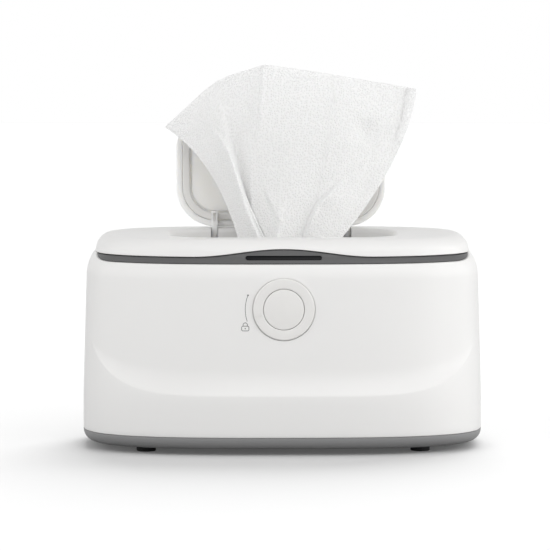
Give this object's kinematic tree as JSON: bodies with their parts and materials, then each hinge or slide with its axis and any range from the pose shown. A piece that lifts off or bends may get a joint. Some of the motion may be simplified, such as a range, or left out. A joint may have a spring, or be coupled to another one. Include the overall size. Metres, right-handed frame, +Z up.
{
  "type": "baby wipe warmer",
  "caption": "Squared-oval electric wipe warmer with a swing-up lid, a hinged dispensing flap standing open over a pulled-up wipe, and a front push button inside a lock ring.",
  "frame": {"origin": "on the table, at the middle of the bounding box's footprint", "axes": "+X right seen from the front, -Y towards the front, +Z up"},
  "size_m": [0.2406, 0.15, 0.2276],
  "materials": {
    "white_housing": "satin",
    "grey_housing": "satin",
    "foot_rubber": "matte",
    "smoked_window": "gloss",
    "circuit_board": "satin",
    "tub_plastic": "satin",
    "heating_plate": "satin",
    "heating_film": "gloss",
    "insulation_foam": "matte",
    "black_plastic": "satin",
    "steel": "satin",
    "wire_sleeve": "satin",
    "white_inner": "matte",
    "seal_rubber": "satin",
    "wipe_cloth": "matte"
  },
  "bodies": {
    "housing": {"body_shell": "white_housing", "base_cover": "grey_housing", "foot_front_left": "foot_rubber", "foot_front_right": "foot_rubber", "foot_rear_left": "foot_rubber", "foot_rear_right": "foot_rubber", "rim_frame": "grey_housing", "indicator_window": "smoked_window", "light_board": "circuit_board", "inner_tub": "tub_plastic", "heat_plate": "heating_plate", "heater_film": "heating_film", "insulation_pad": "insulation_foam", "temperature_sensor": "black_plastic", "thermal_fuse": "steel", "control_board": "circuit_board", "power_socket": "black_plastic", "socket_pin": "steel", "wiring": "wire_sleeve", "lid_pin_left": "steel", "lid_pin_right": "steel", "button_housing": "white_inner", "button_spring": "steel"},
    "lid": {"lid_shell": "white_housing", "lid_liner": "white_inner", "lid_seal": "seal_rubber", "latch_hook_left": "white_inner", "latch_hook_right": "white_inner", "dispensing_gate": "seal_rubber", "flap_pin_left": "steel", "flap_pin_right": "steel", "wipe": "wipe_cloth"},
    "flap": {"flap": "white_housing", "flap_seal": "seal_rubber"},
    "lock_ring": {"lock_ring": "white_housing"},
    "button": {"push_button": "white_housing", "latch_slide": "white_inner"}
  },
  "joints": [
    {"name": "lid_hinge", "type": "hinge", "parent": "housing", "child": "lid", "pos_m": [0, 0.07, 0.114], "axis": [-1, 0, 0], "range_deg": [0, 95]},
    {"name": "flap_hinge", "type": "hinge", "parent": "lid", "child": "flap", "pos_m": [0, 0.0453, 0.1195], "axis": [-1, 0, 0], "range_deg": [-95, 0], "deforming": ["wipe"]},
    {"name": "lock_ring_turn", "type": "hinge", "parent": "housing", "child": "lock_ring", "pos_m": [0, -0.07, 0.087], "axis": [0, 1, 0], "range_deg": [0, 42]},
    {"name": "button_press", "type": "slide", "parent": "housing", "child": "button", "axis": [0, 1, 0], "range_m": [0, 0.002], "stiffness_N_per_m": 500, "springref_m": -0.002, "deforming": ["button_spring"]}
  ]
}
